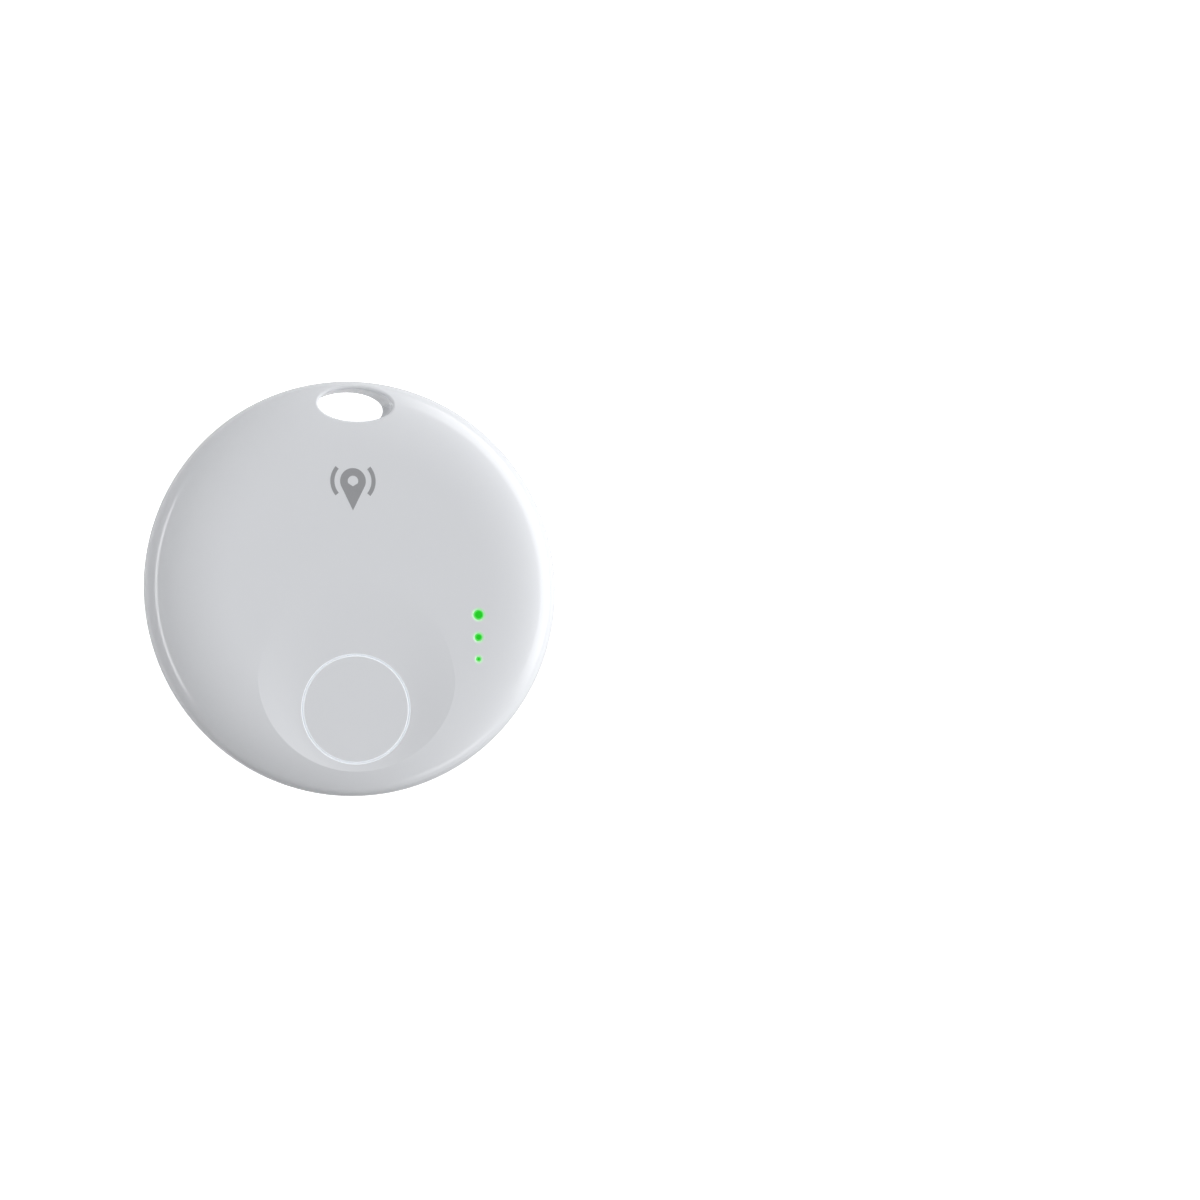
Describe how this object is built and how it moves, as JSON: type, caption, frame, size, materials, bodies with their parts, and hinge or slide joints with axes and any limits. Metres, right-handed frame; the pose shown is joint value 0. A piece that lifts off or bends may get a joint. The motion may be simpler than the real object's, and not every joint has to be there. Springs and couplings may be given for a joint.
{
  "type": "bluetooth tracker tag",
  "caption": "Round glossy white key-finder tag with an oval keyring hole, a flush push button in a shallow finger dish and a column of green status lights.",
  "frame": {"origin": "centre of the flat back face, on which the tag lies", "axes": "+Z out of the front face, +Y towards the keyring hole, +X to the right seen from the front"},
  "size_m": [0.036, 0.036, 0.0071],
  "materials": {
    "shell_white": "glossy moulded ABS, cool white",
    "button_white": "satin moulded ABS, cool white",
    "status_green": "translucent green light pipe, lit",
    "print_grey": "pad-printed grey ink on the front face",
    "seal_rubber": "matte silicone rubber",
    "pad_foam": "closed-cell foam",
    "cell_steel": "nickel-plated steel, faintly brushed",
    "cell_gasket": "grey nylon",
    "cell_core": "pressed powder pellet",
    "frame_black": "fine textured black nylon",
    "board_green": "green solder mask over glass epoxy",
    "trace_gold": "gold-plated copper",
    "chip_black": "black epoxy package",
    "crystal_metal": "lidded metal can",
    "chip_tan": "sintered ceramic chip",
    "coil_grey": "moulded ferrite",
    "led_clear": "clear epoxy lens",
    "contact_steel": "nickel-plated spring sheet",
    "sounder_brass": "rolled brass sheet",
    "sounder_ceramic": "silvered piezo ceramic",
    "tape_grey": "double-sided foam tape",
    "screw_steel": "zinc-plated steel"
  },
  "bodies": {
    "rear_half": {"rear_shell": "shell_white", "case_seal": "seal_rubber", "battery_pad": "pad_foam"},
    "coin_cell": {"battery_can": "cell_steel", "battery_gasket": "cell_gasket", "battery_cap": "cell_steel", "battery_core": "cell_core"},
    "button": {"button_cap": "button_white"},
    "plunger": {"switch_plunger": "button_white"},
    "front_half": {"front_shell": "shell_white", "light_pipe_upper": "status_green", "light_pipe_middle": "status_green", "light_pipe_lower": "status_green", "battery_frame": "frame_black", "main_board": "board_green", "antenna_trace": "trace_gold", "bluetooth_chip": "chip_black", "main_crystal": "crystal_metal", "clock_crystal": "crystal_metal", "bulk_capacitor": "chip_tan", "passives": "chip_tan", "buzzer_inductor": "coil_grey", "status_leds": "led_clear", "switch_body": "chip_black", "negative_contact": "contact_steel", "positive_contact": "contact_steel", "buzzer_springs": "contact_steel", "buzzer_plate": "sounder_brass", "buzzer_ceramic": "sounder_ceramic", "buzzer_adhesive": "tape_grey", "frame_screws": "screw_steel"}
  },
  "joints": [
    {"name": "case_open", "type": "slide", "parent": "rear_half", "child": "front_half", "axis": [0, 0, 1], "range_m": [0, 0.012]},
    {"name": "cell_lift", "type": "slide", "parent": "rear_half", "child": "coin_cell", "axis": [0, 0, 1], "range_m": [0, 0.006]},
    {"name": "button_press", "type": "slide", "parent": "front_half", "child": "button", "axis": [0, 0, -1], "range_m": [0, 0.0002], "stiffness_N_per_m": 5000},
    {"name": "plunger_press", "type": "slide", "parent": "front_half", "child": "plunger", "axis": [0, 0, -1], "range_m": [0, 0.0002]}
  ],
  "couplings": [
    {"joint": "cell_lift", "follows": "case_open", "ratio": 0.5},
    {"joint": "plunger_press", "follows": "button_press", "ratio": 1}
  ]
}
